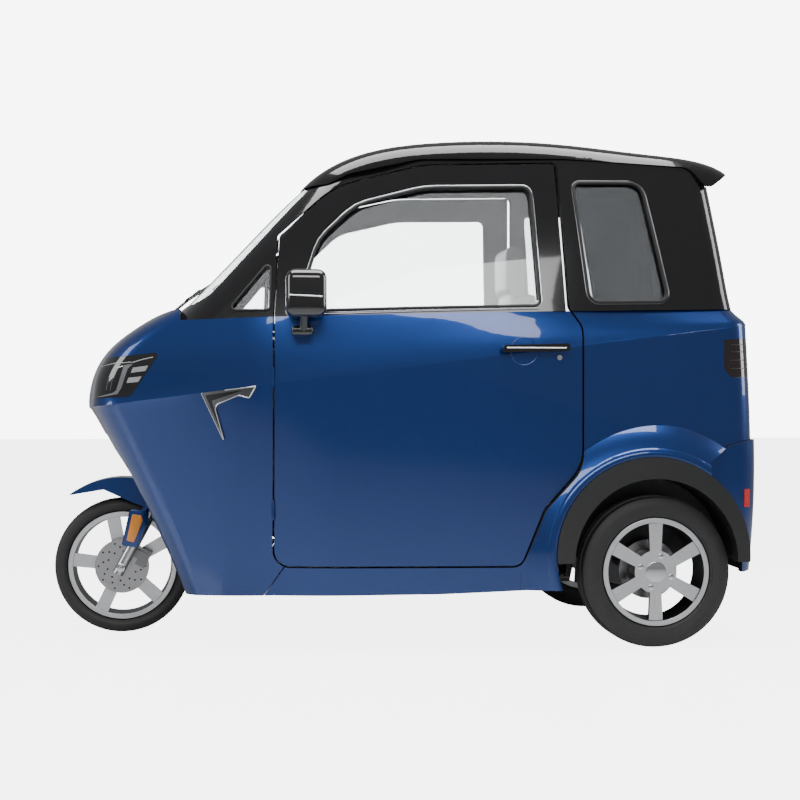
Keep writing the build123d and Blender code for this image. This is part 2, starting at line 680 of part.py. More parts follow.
# ---------------------------------------------------------------- fork and handlebar
def make_handlebar():
    stem_low = LOWER_YOKE - YOKE_THICKNESS / 2
    shape = in_steering(Pos(0, 0, (stem_low + HANDLEBAR_REACH) / 2) * Cylinder(STEM_RADIUS, HANDLEBAR_REACH - stem_low))
    top = STEERING.from_local_coords(Vector(0, 0, HANDLEBAR_REACH - 14))
    path = [(top.X, 0, top.Z), (top.X, 60, top.Z), (top.X - 80, 170, top.Z + 2), (top.X - 150, BAR_HALF_WIDTH, top.Z - 10)]
    for sign in (1, -1):
        points = [(x, sign * y, z) for x, y, z in path]
        for a, b in zip(points, points[1:]):
            shape = shape + rod(a, b, BAR_RADIUS)
            shape = shape + Pos(*b) * Sphere(BAR_RADIUS)
        a, b = Vector(*points[2]), Vector(*points[3])
        shape = shape + rod(tuple(a + (b - a) * 0.25), tuple(b), GRIP_RADIUS)
    return shape


def make_fork():
    shape = None
    for y in (LEG_SPREAD, -LEG_SPREAD):
        leg = Pos(FORK_OFFSET, y, (UPPER_YOKE + 15 - 24) / 2) * Cylinder(LEG_RADIUS, UPPER_YOKE + 15 + 24)
        shape = leg if shape is None else shape + leg
    for s in (LOWER_YOKE, UPPER_YOKE):
        yoke = Pos(FORK_OFFSET / 2, 0, s) * Box(FORK_OFFSET + 44, 2 * LEG_SPREAD + 44, YOKE_THICKNESS)
        shape = shape + yoke
    shape = shape - Pos(0, 0, UPPER_YOKE) * Cylinder(STEM_RADIUS, 400)
    shape = in_steering(shape)
    axle = disc_y(FRONT_AXLE_X, FRONT_TYRE_RADIUS, AXLE_RADIUS, -LEG_SPREAD - 26, LEG_SPREAD + 26)
    return shape + axle


def make_mudguard():
    x, z = FRONT_AXLE_X, FRONT_TYRE_RADIUS
    outer = disc_y(x, z, MUDGUARD_RADIUS, -MUDGUARD_HALF_WIDTH, MUDGUARD_HALF_WIDTH)
    inner = disc_y(x, z, MUDGUARD_RADIUS - MUDGUARD_WALL, -MUDGUARD_HALF_WIDTH + MUDGUARD_WALL,
                   MUDGUARD_HALF_WIDTH - MUDGUARD_WALL)
    shell = outer - inner
    keep = side_prism(
        make_face(Polyline((x + 165, z + 233), (x + 60, z + 250), (x - 40, z + 205), (x - 130, z + 170), (x - 196, z + 180),
                           (x - 196, z + 330), (x + 100, z + 330), (x + 240, z + 260), close=True)),
        -100, 100,
    )
    shell = shell & keep
    stays = in_steering(
        Pos(FORK_OFFSET + 6, LEG_SPREAD - 20, 232) * Box(30, 22, 70) + Pos(FORK_OFFSET + 6, 20 - LEG_SPREAD, 232) * Box(30, 22, 70)
    )
    legs = in_steering(
        Pos(FORK_OFFSET, LEG_SPREAD, 200) * Cylinder(LEG_RADIUS, 700)
        + Pos(FORK_OFFSET, -LEG_SPREAD, 200) * Cylinder(LEG_RADIUS, 700)
    )
    space = disc_y(x, z, MUDGUARD_RADIUS - MUDGUARD_WALL, -MUDGUARD_HALF_WIDTH + MUDGUARD_WALL,
                   MUDGUARD_HALF_WIDTH - MUDGUARD_WALL)
    brackets = in_steering(
        Pos(FORK_OFFSET + 22, LEG_SPREAD + 8, 250) * Box(14, 40, 190) + Pos(FORK_OFFSET + 22, -LEG_SPREAD - 8, 250) * Box(14, 40, 190)
    )
    yoke_space = in_steering(Pos(FORK_OFFSET / 2, 0, LOWER_YOKE) * Box(FORK_OFFSET + 44, 2 * LEG_SPREAD + 44, YOKE_THICKNESS))
    return shell + (stays + brackets - legs - space - yoke_space)


nodes["handlebar"] = make_handlebar()
nodes["fork_legs"] = make_fork() - nodes["handlebar"]
nodes["front_mudguard"] = make_mudguard()


# ---------------------------------------------------------------- wheels
def tyre(radius, rim_radius, width, rim_width):
    """Tyre on an axle along Y, at the origin, seated on the barrel between the lips of its rim."""
    half = width / 2
    lip = rim_width / 2 - 10 - 4 * SEAT_CLEARANCE
    bead = lip - 6
    seat = rim_radius - 11 + SEAT_CLEARANCE
    near = [(rim_radius + 1, lip, 3), (rim_radius + 12, half - 1, 12), (radius - 16, half, 20), (radius, half - 14, 22)]
    far = [(r, -y, bend) for r, y, bend in near]
    loop = [(seat, -bead, 3)] + far + near[::-1] + [(seat, bead, 3)]
    return revolve(outline(loop), axis=Axis.Y)


def rim(radius, width, spokes, spoke_root, spoke_tip, hub_radius, bore, face, first_angle):
    """Cast wheel: barrel with a lip, a hub and flat spokes near the outer face, on +Y."""
    half = width / 2
    barrel = revolve(
        rounded_face(
            [(radius - 16, half - 4), (radius - 22, -half + 4), (radius, -half + 4), (radius, -half + 10),
             (radius - 11, -half + 16), (radius - 11, half - 16), (radius, half - 10), (radius, half - 4)],
            1.5,
        ),
        axis=Axis.Y,
    )
    hub = disc_y(0, 0, hub_radius, -RIM_HUB_BACK, face)
    shape = barrel + hub
    for k in range(spokes):
        arm = Polyline((0, -spoke_root / 2), (radius - 14, -spoke_tip / 2), (radius - 14, spoke_tip / 2), (0, spoke_root / 2),
                       close=True)
        blade = extrude(make_face(arm), amount=16)
        angle = first_angle + k * 360 / spokes
        blade = Plane(origin=(0, face, 0), x_dir=(cos(radians(angle)), 0, sin(radians(angle))), z_dir=(0, -1, 0)) * blade
        shape = shape + blade
    return shape - Rot(90, 0, 0) * Cylinder(bore, 4 * width)


nodes["front_tyre"] = Pos(FRONT_AXLE_X, 0, FRONT_TYRE_RADIUS) * tyre(
    FRONT_TYRE_RADIUS, FRONT_RIM_RADIUS, FRONT_TYRE_WIDTH, FRONT_RIM_WIDTH
)
nodes["front_rim"] = Pos(FRONT_AXLE_X, 0, FRONT_TYRE_RADIUS) * (
    rim(FRONT_RIM_RADIUS, FRONT_RIM_WIDTH, FRONT_SPOKES, 38, 44, 34, AXLE_RADIUS + SEAT_CLEARANCE, 34, 7)
)
nodes["front_disc"] = disc_y(FRONT_AXLE_X, FRONT_TYRE_RADIUS, FRONT_DISC_RADIUS, FRONT_DISC_Y, FRONT_DISC_Y + DISC_THICKNESS) + disc_y(
    FRONT_AXLE_X, FRONT_TYRE_RADIUS, 30, 34, 68
) - disc_y(FRONT_AXLE_X, FRONT_TYRE_RADIUS, AXLE_RADIUS + SEAT_CLEARANCE, -200, 200)
def make_front_caliper():
    """Brake caliper straddling the disc behind the left leg, with its bracket."""
    body = Pos(FORK_OFFSET - 50, FRONT_DISC_Y + DISC_THICKNESS / 2, 56) * Box(34, 34, 58)
    bracket = Pos(FORK_OFFSET - 24, LEG_SPREAD - 19, 60) * Box(60, 14, 28)
    slot = disc_y(FRONT_AXLE_X, FRONT_TYRE_RADIUS, FRONT_DISC_RADIUS + 3, FRONT_DISC_Y - 3, FRONT_DISC_Y + DISC_THICKNESS + 3)
    leg = Pos(FORK_OFFSET, LEG_SPREAD, 200) * Cylinder(LEG_RADIUS, 700)
    return in_steering(body + bracket - leg) - slot


nodes["front_caliper"] = make_front_caliper()
rear_tyre = tyre(REAR_TYRE_RADIUS, REAR_RIM_RADIUS, REAR_TYRE_WIDTH, REAR_RIM_WIDTH)
rear_rim = rim(REAR_RIM_RADIUS, REAR_RIM_WIDTH, REAR_SPOKES, 30, 44, 66, 12 + SEAT_CLEARANCE, 46, 90)
rear_disc = disc_y(0, 0, 92, -52, -47) + disc_y(0, 0, 60, -52, -RIM_HUB_BACK) - disc_y(0, 0, 12 + SEAT_CLEARANCE, -200, 200)
for side, flip in (("left", False), ("right", True)):
    for name, shape in (("rear_tyre", rear_tyre), ("rear_rim", rear_rim), ("rear_disc", rear_disc)):
        placed = Pos(REAR_AXLE_X, REAR_WHEEL_Y, REAR_TYRE_RADIUS) * shape
        nodes[f"{name}_{side}"] = mirror(placed, about=Plane.XZ) if flip else placed

os.makedirs("parts", exist_ok=True)
for name, shape in nodes.items():
    export_step(shape, f"parts/{name}.step")
    print(name, len(shape.solids()), round(shape.volume / 1000))
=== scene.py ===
import math
import bpy
from mathutils import Matrix, Vector


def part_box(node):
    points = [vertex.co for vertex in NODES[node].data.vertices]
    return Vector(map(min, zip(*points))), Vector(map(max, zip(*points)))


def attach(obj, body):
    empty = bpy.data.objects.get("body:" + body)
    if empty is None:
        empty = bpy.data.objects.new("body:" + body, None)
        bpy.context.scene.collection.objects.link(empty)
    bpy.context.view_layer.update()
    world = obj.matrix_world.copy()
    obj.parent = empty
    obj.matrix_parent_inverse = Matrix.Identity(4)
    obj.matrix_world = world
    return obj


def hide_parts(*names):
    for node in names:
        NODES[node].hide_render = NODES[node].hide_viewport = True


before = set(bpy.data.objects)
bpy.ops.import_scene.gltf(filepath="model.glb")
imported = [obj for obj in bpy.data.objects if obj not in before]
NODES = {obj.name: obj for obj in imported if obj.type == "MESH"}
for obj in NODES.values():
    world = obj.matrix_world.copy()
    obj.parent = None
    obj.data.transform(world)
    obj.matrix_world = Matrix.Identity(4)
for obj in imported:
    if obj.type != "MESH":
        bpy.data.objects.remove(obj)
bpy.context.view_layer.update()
MM = 0.001
UP = Vector((0, 0, 1))
ACROSS = Vector((0, 1, 0))


# ---------------------------------------------------------------- hand tools
def deselect():
    if bpy.context.object and bpy.context.object.mode != "OBJECT":
        bpy.ops.object.mode_set(mode="OBJECT")
    bpy.ops.object.select_all(action="DESELECT")


def pick(piece):
    deselect()
    piece.select_set(True)
    bpy.context.view_layer.objects.active = piece


def edit(piece):
    pick(piece)
    bpy.ops.object.mode_set(mode="EDIT")
    bpy.ops.mesh.select_all(action="SELECT")


def leave_edit():
    bpy.ops.object.mode_set(mode="OBJECT")


def modify(piece, kind, **values):
    """Adds a modifier, sets it and applies it."""
    pick(piece)
    modifier = piece.modifiers.new(kind.lower(), kind)
    for key, value in values.items():
        setattr(modifier, key, value)
    bpy.ops.object.modifier_apply(modifier=modifier.name)


def soften(piece, width, segments=2, angle=30):
    modify(piece, "BEVEL", width=width, segments=segments, limit_method="ANGLE",
           angle_limit=math.radians(angle))
    smooth(piece, 40)


def smooth(piece, angle=35):
    pick(piece)
    bpy.ops.object.shade_smooth_by_angle(angle=math.radians(angle))


def outward(piece):
    edit(piece)
    bpy.ops.mesh.remove_doubles(threshold=1e-5)
    bpy.ops.mesh.normals_make_consistent(inside=False)
    leave_edit()


def settle(piece, name, body, finish, slot, *replaced):
    """Applies the place, gives name and finish, and hangs the piece on its body."""
    pick(piece)
    bpy.ops.object.transform_apply(location=True, rotation=True, scale=True)
    piece.name = name
    piece.data.name = name
    piece.data.materials.clear()
    piece.data.materials.append(finish)
    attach(piece, body)
    if replaced:
        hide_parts(*replaced)
    return piece


def join(pieces):
    deselect()
    for piece in pieces:
        piece.select_set(True)
    bpy.context.view_layer.objects.active = pieces[0]
    if len(pieces) > 1:
        bpy.ops.object.join()
    return bpy.context.object


def copied(piece):
    """A second object with its own mesh."""
    twin = piece.copy()
    twin.data = piece.data.copy()
    bpy.context.scene.collection.objects.link(twin)
    return twin


def across_copy(piece):
    """The same piece on the other side of the vehicle."""
    twin = copied(piece)
    twin.scale = (1, -1, 1)
    pick(twin)
    bpy.ops.object.transform_apply(location=True, rotation=True, scale=True)
    outward(twin)
    return twin


def block(low, high):
    """Block between two corners, the start of a shaped piece."""
    low, high = Vector(low), Vector(high)
    deselect()
    bpy.ops.mesh.primitive_cube_add(size=1, location=(low + high) / 2)
    piece = bpy.context.object
    piece.scale = high - low
    bpy.ops.object.transform_apply(location=True, rotation=True, scale=True)
    return piece


def drum(middle, radius, depth, axis=ACROSS, sides=32):
    deselect()
    bpy.ops.mesh.primitive_cylinder_add(vertices=sides, radius=radius, depth=depth, location=middle)
    piece = bpy.context.object
    piece.rotation_mode = "QUATERNION"
    piece.rotation_quaternion = UP.rotation_difference(Vector(axis))
    bpy.ops.object.transform_apply(location=True, rotation=True, scale=True)
    return piece


def bar(start, end, radius, sides=20):
    start, end = Vector(start), Vector(end)
    return drum((start + end) / 2, radius, (end - start).length, end - start, sides)


def line(points, closed=False):
    """A run of edges, drawn by extruding one vertex from point to point."""
    points = [Vector(p) for p in points]
    deselect()
    bpy.ops.mesh.primitive_plane_add(size=MM, location=points[0])
    piece = bpy.context.object
    bpy.ops.object.transform_apply(location=True, rotation=True, scale=True)
    bpy.ops.object.mode_set(mode="EDIT")
    bpy.ops.mesh.select_mode(type="VERT")
    bpy.ops.mesh.select_all(action="SELECT")
    bpy.ops.mesh.merge(type="CENTER")
    for before, after in zip(points, points[1:]):
        bpy.ops.mesh.extrude_vertices_move(TRANSFORM_OT_translate={"value": after - before})
    if closed:
        bpy.ops.mesh.select_all(action="SELECT")
        bpy.ops.mesh.edge_face_add()
        bpy.ops.mesh.select_all(action="SELECT")
        bpy.ops.mesh.delete(type="ONLY_FACE")
    leave_edit()
    return piece


def rounded(points, step=math.radians(15)):
    """Corner points (a, b, radius) turned into an outline whose corners are arcs of short runs."""
    loop = []
    corners = [Vector((a, b)) for a, b, _ in points]
    for i, (a, b, radius) in enumerate(points):
        corner = corners[i]
        back = (corners[i - 1] - corner).normalized()
        ahead = (corners[(i + 1) % len(corners)] - corner).normalized()
        half = back.angle(ahead) / 2
        if radius <= 0 or half > math.radians(89.5):
            loop.append((a, b))
            continue
        reach = radius / math.tan(half)
        centre = corner + (back + ahead).normalized() * (radius / math.sin(half))
        start, end = corner + back * reach - centre, corner + ahead * reach - centre
        turn = start.angle_signed(end)
        pieces = max(2, round(abs(turn) / step))
        for k in range(pieces + 1):
            spoke = start.copy()
            spoke.rotate(Matrix.Rotation(-turn * k / pieces, 2))
            loop.append(tuple(centre + spoke))
    return loop


def densely(loop, closed, step=0.03):
    """Extra points along long runs, so that a line can lie on a curved surface."""
    out = []
    ends = zip(loop, loop[1:] + loop[:1]) if closed else zip(loop, loop[1:])
    for start, end in ends:
        a, b = Vector(start), Vector(end)
        cuts = max(1, math.ceil((b - a).length / step))
        out += [tuple(a.lerp(b, k / cuts)) for k in range(cuts)]
    if not closed:
        out.append(tuple(loop[-1]))
    return out


def lay_on(piece, target, axis="y", side=1, offset=0.0):
    """Lays the piece on the face of a node, moving it straight along one axis from outside."""
    modify(piece, "SHRINKWRAP", target=NODES[target], wrap_method="PROJECT", offset=offset,
           use_project_x=axis == "x", use_project_y=axis == "y", use_project_z=axis == "z",
           use_positive_direction=side < 0, use_negative_direction=side > 0)


def tube(piece, radius, rings=2):
    """Turns a line of edges into a round bead."""
    pick(piece)
    bpy.ops.object.convert(target="CURVE")
    curve = bpy.context.object
    curve.data.bevel_depth = radius
    curve.data.bevel_resolution = rings
    curve.data.use_fill_caps = True
    bpy.ops.object.convert(target="MESH")
    piece = bpy.context.object
    outward(piece)
    smooth(piece, 60)
    return piece


# ---------------------------------------------------------------- shader groups
def group(name, inputs, outputs):
    """A new shader group with named sockets. Returns its tree, its inputs and its outputs."""
    tree = bpy.data.node_groups.new(name, "ShaderNodeTree")
    for label, kind, value in inputs:
        socket = tree.interface.new_socket(name=label, in_out="INPUT", socket_type="NodeSocket" + kind)
        socket.default_value = value
    for label, kind in outputs:
        tree.interface.new_socket(name=label, in_out="OUTPUT", socket_type="NodeSocket" + kind)
    return tree, tree.nodes.new("NodeGroupInput").outputs, tree.nodes.new("NodeGroupOutput").inputs


def node(tree, kind, links=(), **values):
    """Adds a node. links gives (socket, source) pairs; the rest are its own properties."""
    made = tree.nodes.new("ShaderNode" + kind)
    for key, value in values.items():
        setattr(made, key, value)
    for socket, source in dict(links).items():
        if isinstance(source, bpy.types.NodeSocket):
            tree.links.new(source, made.inputs[socket])
        else:
            made.inputs[socket].default_value = source
    return made


def maths(tree, operation, a, b=0.0, clamp=False):
    return node(tree, "Math", {0: a, 1: b}, operation=operation, use_clamp=clamp).outputs[0]


def blend_colours(tree, factor, a, b):
    made = node(tree, "Mix", data_type="RGBA")
    for socket, source in zip((made.inputs[0], made.inputs[6], made.inputs[7]), (factor, a, b)):
        if isinstance(source, bpy.types.NodeSocket):
            tree.links.new(source, socket)
        else:
            socket.default_value = source
    return made.outputs[2]


def make_grain_group():
    """Fine moulded grain: raised cells with uneven heights."""
    tree, given, result = group("Moulded grain", [("Scale", "Float", 800.0), ("Depth", "Float", 0.0001)],
                                [("Normal", "Vector"), ("Mask", "Float")])
    place = node(tree, "TexCoord").outputs["Object"]
    cells = node(tree, "TexVoronoi", {"Vector": place, "Scale": given["Scale"]}, feature="SMOOTH_F1")
    noise = node(tree, "TexNoise", {"Vector": place, "Scale": given["Scale"], "Detail": 3.0})
    height = maths(tree, "ADD", cells.outputs["Distance"], noise.outputs["Fac"])
    bump = node(tree, "Bump", {"Height": height, "Distance": given["Depth"], "Strength": 0.6})
    tree.links.new(bump.outputs["Normal"], result["Normal"])
    tree.links.new(noise.outputs["Fac"], result["Mask"])
    return tree


def make_smudge_group():
    """Broad faint haze and dust that changes colour and gloss a little over a surface."""
    settings = [("Clean", "Color", (0, 0, 0, 1)), ("Dusty", "Color", (0.1, 0.1, 0.1, 1)), ("Gloss", "Float", 0.1),
                ("Change", "Float", 0.1), ("Scale", "Float", 6.0)]
    tree, given, result = group("Haze and dust", settings,
                                [("Color", "Color"), ("Roughness", "Float"), ("Mask", "Float")])
    place = node(tree, "TexCoord").outputs["Object"]
    broad = node(tree, "TexNoise", {"Vector": place, "Scale": given["Scale"], "Detail": 6.0, "Roughness": 0.6})
    fine = node(tree, "TexNoise", {"Vector": place, "Scale": 260.0, "Detail": 2.0})
    low = node(tree, "Separate XYZ".replace(" ", ""), {0: place})
    near_road = node(tree, "MapRange", {"Value": low.outputs["Z"], "From Min": 0.45, "From Max": 0.05},
                     clamp=True)
    both = maths(tree, "MULTIPLY", broad.outputs["Fac"], fine.outputs["Fac"])
    mask = maths(tree, "MULTIPLY", both, maths(tree, "ADD", near_road.outputs["Result"], 0.25), clamp=True)
    tree.links.new(blend_colours(tree, mask, given["Clean"], given["Dusty"]), result["Color"])
    swing = maths(tree, "MULTIPLY", maths(tree, "SUBTRACT", broad.outputs["Fac"], 0.5), given["Change"])
    tree.links.new(maths(tree, "ADD", given["Gloss"], swing, clamp=True), result["Roughness"])
    tree.links.new(mask, result["Mask"])
    return tree


def make_lining_group():
    """Mask of the faces that look into the cabin, worked out from where they are and where they face."""
    tree, given, result = group("Inner faces", [("Middle", "Vector", (-0.15, 0.0, 0.75))], [("Mask", "Float")])
    place = node(tree, "TexCoord").outputs["Object"]
    shape = node(tree, "NewGeometry").outputs["True Normal"]
    out = node(tree, "VectorMath", {0: place, 1: given["Middle"]}, operation="SUBTRACT").outputs[0]
    flat = node(tree, "VectorMath", {0: out, 1: (0.45, 1.0, 0.6)}, operation="MULTIPLY").outputs[0]
    unit = node(tree, "VectorMath", {0: flat}, operation="NORMALIZE").outputs[0]
    facing = node(tree, "VectorMath", {0: shape, 1: unit}, operation="DOT_PRODUCT").outputs["Value"]
    mask = node(tree, "MapRange", {"Value": facing, "From Min": -0.05, "From Max": -0.2}, clamp=True)
    tree.links.new(mask.outputs["Result"], result["Mask"])
    return tree


GRAIN = make_grain_group()
HAZE = make_smudge_group()
LINING = make_lining_group()


def use_group(tree, source, **values):
    made = tree.nodes.new("ShaderNodeGroup")
    made.node_tree = source
    for key, value in values.items():
        socket = made.inputs[key]
        if isinstance(value, bpy.types.NodeSocket):
            tree.links.new(value, socket)
        else:
            socket.default_value = value
    return made.outputs


def material(name, **values):
    """A new material. The values go on its shader's own sockets."""
    made = bpy.data.materials.new(name)
    made.use_nodes = True
    shader = made.node_tree.nodes["Principled BSDF"]
    for key, value in values.items():
        shader.inputs[key.replace("_", " ")].default_value = value
    return made, made.node_tree, shader.inputs


def plain_finish(name, clean, dusty, gloss, change=0.08, haze_scale=6.0, grain=None, **values):
    """Finish with haze and dust, and with moulded grain where a (scale, depth) pair is given."""
    made, tree, shader = material(name, **values)
    haze = use_group(tree, HAZE, Clean=(*clean, 1), Dusty=(*dusty, 1), Gloss=gloss, Change=change,
                     Scale=haze_scale)
    tree.links.new(haze["Color"], shader["Base Color"])
    tree.links.new(haze["Roughness"], shader["Roughness"])
    if grain:
        tree.links.new(use_group(tree, GRAIN, Scale=grain[0], Depth=grain[1])["Normal"], shader["Normal"])
    return made


def lined_finish(name, paint, dusty, gloss, lining, flakes, **values):
    """Clear-coated paint outside and matt grained lining on the faces that look into the cabin."""
    made, tree, shader = material(name, **values)
    haze = use_group(tree, HAZE, Clean=(*paint, 1), Dusty=(*dusty, 1), Gloss=gloss, Change=0.05, Scale=4.0)
    place = node(tree, "TexCoord").outputs["Object"]
    specks = node(tree, "TexVoronoi", {"Vector": place, "Scale": 2600.0}).outputs["Color"]
    bright = node(tree, "MapRange", {"Value": specks, "From Min": 0.3, "From Max": 0.9, "To Min": 1 - flakes,
                                     "To Max": 1 + flakes}).outputs["Result"]
    colour = node(tree, "VectorMath", {0: haze["Color"], "Scale": bright}, operation="SCALE").outputs[0]
    inside = use_group(tree, LINING)["Mask"]
    tree.links.new(blend_colours(tree, inside, colour, (*lining, 1)), shader["Base Color"])
    rough = node(tree, "Mix", {0: inside, 2: haze["Roughness"], 3: 0.75}, data_type="FLOAT").outputs[0]
    tree.links.new(rough, shader["Roughness"])
    outside = maths(tree, "SUBTRACT", 1.0, inside)
    tree.links.new(outside, shader["Coat Weight"])
    if values.get("Metallic"):
        tree.links.new(maths(tree, "MULTIPLY", outside, values["Metallic"]), shader["Metallic"])
    return made


BLUE = lined_finish("Blue metallic paint", (0.001, 0.034, 0.19), (0.004, 0.04, 0.16), 0.3,
                    (0.012, 0.012, 0.013), 0.25, Metallic=0.75, Coat_Roughness=0.03)
BLACK_GLOSS = lined_finish("Black gloss", (0.0035, 0.0035, 0.004), (0.03, 0.03, 0.03), 0.14,
                           (0.022, 0.022, 0.024), 0.0, Coat_Roughness=0.04, Specular_IOR_Level=0.2)
BLACK_SATIN = plain_finish("Black satin plastic", (0.012, 0.012, 0.0125), (0.045, 0.043, 0.04), 0.42,
                           grain=(900.0, 0.00012))
# Real rubber on the seals; the same finish also paints the shade in the front disc's drilled holes.
RUBBER_AND_HOLE_SHADE = plain_finish("Rubber seal and painted hole shade", (0.008, 0.008, 0.008), (0.03, 0.03, 0.03), 0.6, grain=(1500.0, 0.00006))
TYRE = plain_finish("Tyre rubber", (0.013, 0.013, 0.0135), (0.05, 0.048, 0.044), 0.55, 0.2, 30.0,
                    grain=(700.0, 0.00015))
CHROME = plain_finish("Bright chrome", (0.72, 0.73, 0.75), (0.5, 0.5, 0.5), 0.07, 0.06, Metallic=1.0)
DARK_CHROME = plain_finish("Dark chrome", (0.2, 0.2, 0.21), (0.2, 0.2, 0.2), 0.16, 0.08, Metallic=1.0)
CAST = plain_finish("Cast alloy", (0.3, 0.3, 0.31), (0.15, 0.14, 0.13), 0.5, 0.2,
                    grain=(500.0, 0.0003), Metallic=0.9)
POWDER = plain_finish("Powder coat", (0.011, 0.011, 0.012), (0.06, 0.055, 0.05), 0.4, grain=(1200.0, 0.0001))
FORK_ALLOY = plain_finish("Polished fork alloy", (0.62, 0.63, 0.65), (0.35, 0.35, 0.34), 0.22, 0.15,
                          Metallic=1.0)
DISC_STEEL = plain_finish("Ground disc steel", (0.5, 0.5, 0.51), (0.3, 0.28, 0.26), 0.3, 0.2, 40.0,
                          Metallic=1.0)
BATTERY = plain_finish("Battery case", (0.025, 0.025, 0.028), (0.08, 0.08, 0.08), 0.55, grain=(400.0, 0.0003))
LEATHER = plain_finish("Seat leather", (0.011, 0.011, 0.012), (0.03, 0.03, 0.03), 0.45, grain=(330.0, 0.0006))
AMBER = plain_finish("Amber reflector", (0.85, 0.28, 0.01), (0.6, 0.25, 0.05), 0.15,
                     grain=(420.0, 0.0008), Coat_Weight=1.0)
RED = plain_finish("Red reflector", (0.55, 0.006, 0.008), (0.4, 0.05, 0.05), 0.15,
                   grain=(420.0, 0.0008), Coat_Weight=1.0)
SMOKED = plain_finish("Smoked lens", (0.006, 0.001, 0.0015), (0.02, 0.01, 0.01), 0.06, 0.04, Coat_Weight=1.0)
BLUE_PLAIN = plain_finish("Blue paint of small parts", (0.001, 0.035, 0.19), (0.004, 0.03, 0.12), 0.3,
                          Metallic=0.7, Coat_Weight=1.0)
BLACK_GLOSS_PLAIN = plain_finish("Black gloss shell", (0.0035, 0.0035, 0.004), (0.02, 0.02, 0.02), 0.12,
                                 Coat_Weight=1.0)
LAMP_SILVER = plain_finish("Lamp silver", (0.5, 0.5, 0.51), (0.4, 0.4, 0.4), 0.3,
                           grain=(1800.0, 0.0002), Metallic=0.6)
LAMP_GLASS = plain_finish("Lamp lens", (0.1, 0.11, 0.12), (0.05, 0.05, 0.05), 0.05,
                          Metallic=0.7, Coat_Weight=1.0)
LAMP_BLACK = plain_finish("Lamp housing", (0.004, 0.004, 0.0045), (0.02, 0.02, 0.02), 0.1, 0.05,
                          Coat_Weight=1.0)


def make_glass(name, tint, roughness):
    made, tree, shader = material(name, Transmission_Weight=1.0, IOR=1.45, Roughness=roughness)
    place = node(tree, "TexCoord").outputs["Object"]
    haze = node(tree, "TexNoise", {"Vector": place, "Scale": 5.0, "Detail": 5.0}).outputs["Fac"]
    darker = tuple(0.94 * v for v in tint)
    tree.links.new(blend_colours(tree, haze, (*tint, 1), (*darker, 1)), shader["Base Color"])
    return made


CLEAR_GLASS = make_glass("Clear glass", (0.86, 0.88, 0.88), 0.0)
SMOKED_GLASS = make_glass("Smoked glass", (0.42, 0.44, 0.45), 0.0)


def make_wheel_finish(name, face_y, lip_radius, centre, metal):
    """Machined outer faces and lip, and black between and behind them."""
    made, tree, shader = material(name)
    place = node(tree, "TexCoord").outputs["Object"]
    local = node(tree, "VectorMath", {0: place, 1: centre}, operation="SUBTRACT").outputs[0]
    parts = node(tree, "SeparateXYZ", {0: local}).outputs
    across = maths(tree, "ABSOLUTE", parts["Y"])
    squares = [maths(tree, "POWER", parts[key], 2.0) for key in ("X", "Z")]
    radial = maths(tree, "SQRT", maths(tree, "ADD", *squares))
    normal = node(tree, "SeparateXYZ", {0: node(tree, "NewGeometry").outputs["Normal"]}).outputs
    level = maths(tree, "GREATER_THAN", maths(tree, "ABSOLUTE", normal["Y"]), 0.85)
    outer = maths(tree, "GREATER_THAN", across, face_y - 1.5 * MM)
    spoke = maths(tree, "MULTIPLY", level, outer)
    rim_edge = maths(tree, "GREATER_THAN", across, face_y - 4 * MM)
    lip = maths(tree, "MULTIPLY", maths(tree, "GREATER_THAN", radial, lip_radius), rim_edge)
    bright = maths(tree, "MAXIMUM", spoke, lip)
    rings = node(tree, "CombineXYZ", {"X": radial}).outputs[0]
    turned = node(tree, "TexNoise", {"Vector": rings, "Scale": 2500.0})
    haze = use_group(tree, HAZE, Clean=(*metal, 1), Dusty=(0.3, 0.3, 0.3, 1), Gloss=0.26, Change=0.12,
                     Scale=8.0)
    tree.links.new(blend_colours(tree, bright, (0.006, 0.006, 0.0065, 1), haze["Color"]), shader["Base Color"])
    tree.links.new(bright, shader["Metallic"])
    grooves = maths(tree, "MULTIPLY", turned.outputs["Fac"], 0.12)
    tree.links.new(maths(tree, "ADD", haze["Roughness"], grooves), shader["Roughness"])
    return made


def wheel_centre(tyre_node):
    low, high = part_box(tyre_node)
    return (low + high) / 2


FRONT_WHEEL = wheel_centre("front_tyre")
REAR_WHEELS = {side: wheel_centre(f"rear_tyre_{side}") for side in ("left", "right")}
MACHINED = (0.86, 0.86, 0.87)
REAR_SPOKE_FACE = 46 * MM  # outer face of the rear spokes, from the middle of the wheel
FRONT_RIM = make_wheel_finish("Front wheel alloy", 34 * MM, 171 * MM, FRONT_WHEEL, MACHINED)

CAD_FINISHES = {
    "front_cowl": BLUE, "sills": BLUE, "rear_body": BLUE, "rear_bumper": BLUE, "front_mudguard": BLUE_PLAIN,
    "headlamps": LAMP_BLACK, "tail_lamps": SMOKED, "arch_trims": BLACK_SATIN, "fender_trims": DARK_CHROME,
    "roof_panel": BLACK_GLOSS, "cabin_frame": BLACK_GLOSS, "tailgate_frame": BLACK_GLOSS,
    "quarter_frame_left": BLACK_GLOSS, "quarter_frame_right": BLACK_GLOSS, "tail_frame": BLACK_GLOSS,
    "front_quarter_glass": CLEAR_GLASS, "rear_quarter_glass": SMOKED_GLASS, "windscreen": CLEAR_GLASS,
    "tailgate_glass": SMOKED_GLASS, "wheel_houses": BLACK_SATIN, "floor_liner": BLACK_SATIN,
    "chassis_frame": POWDER, "rear_axle": POWDER, "drive_motor": CAST, "rear_springs": POWDER,
    "battery_pack": BATTERY, "driver_seat": LEATHER, "rear_bench": LEATHER, "dashboard": BLACK_SATIN,
    "wiper": BLACK_SATIN, "plate_holder": BLACK_SATIN, "handlebar": BLACK_SATIN, "fork_legs": FORK_ALLOY,
    "front_caliper": CAST, "front_tyre": TYRE, "front_rim": FRONT_RIM, "front_disc": DISC_STEEL,
}
